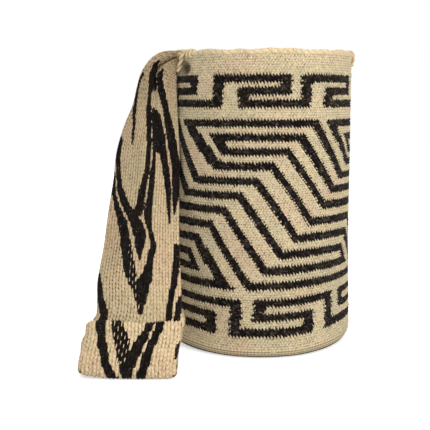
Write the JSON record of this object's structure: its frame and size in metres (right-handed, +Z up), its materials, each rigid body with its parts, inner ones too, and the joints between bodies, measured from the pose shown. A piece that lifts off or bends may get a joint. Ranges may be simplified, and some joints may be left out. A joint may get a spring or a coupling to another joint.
{
  "type": "crocheted shoulder bag",
  "caption": "Tall cylindrical wool shoulder bag in cream and dark crochet with stepped diagonal bands and a wide woven strap folded into a cuff beside it.",
  "frame": {"origin": "middle of the bag's flat base, on the floor", "axes": "+Z up through the mouth, -Y towards the front with the cuff, +X to the right with the strap hanging at -X"},
  "size_m": [0.2681, 0.259, 0.3045],
  "materials": {
    "body_wool": "matt crocheted wool, cream with dark brown-black bands",
    "strap_wool": "matt ply-split woven wool, cream with dark chevrons",
    "edging_wool": "matt plied wool yarn, warm cream"
  },
  "bodies": {
    "root": {"bag_body": "body_wool", "rim_edging": "edging_wool", "strap": "strap_wool", "left_seam_cord": "edging_wool", "left_stitch_1": "edging_wool", "left_stitch_2": "edging_wool", "right_stitch_1": "edging_wool", "right_stitch_2": "edging_wool", "right_stitch_3": "edging_wool", "right_stitch_4": "edging_wool"}
  },
  "joints": []
}
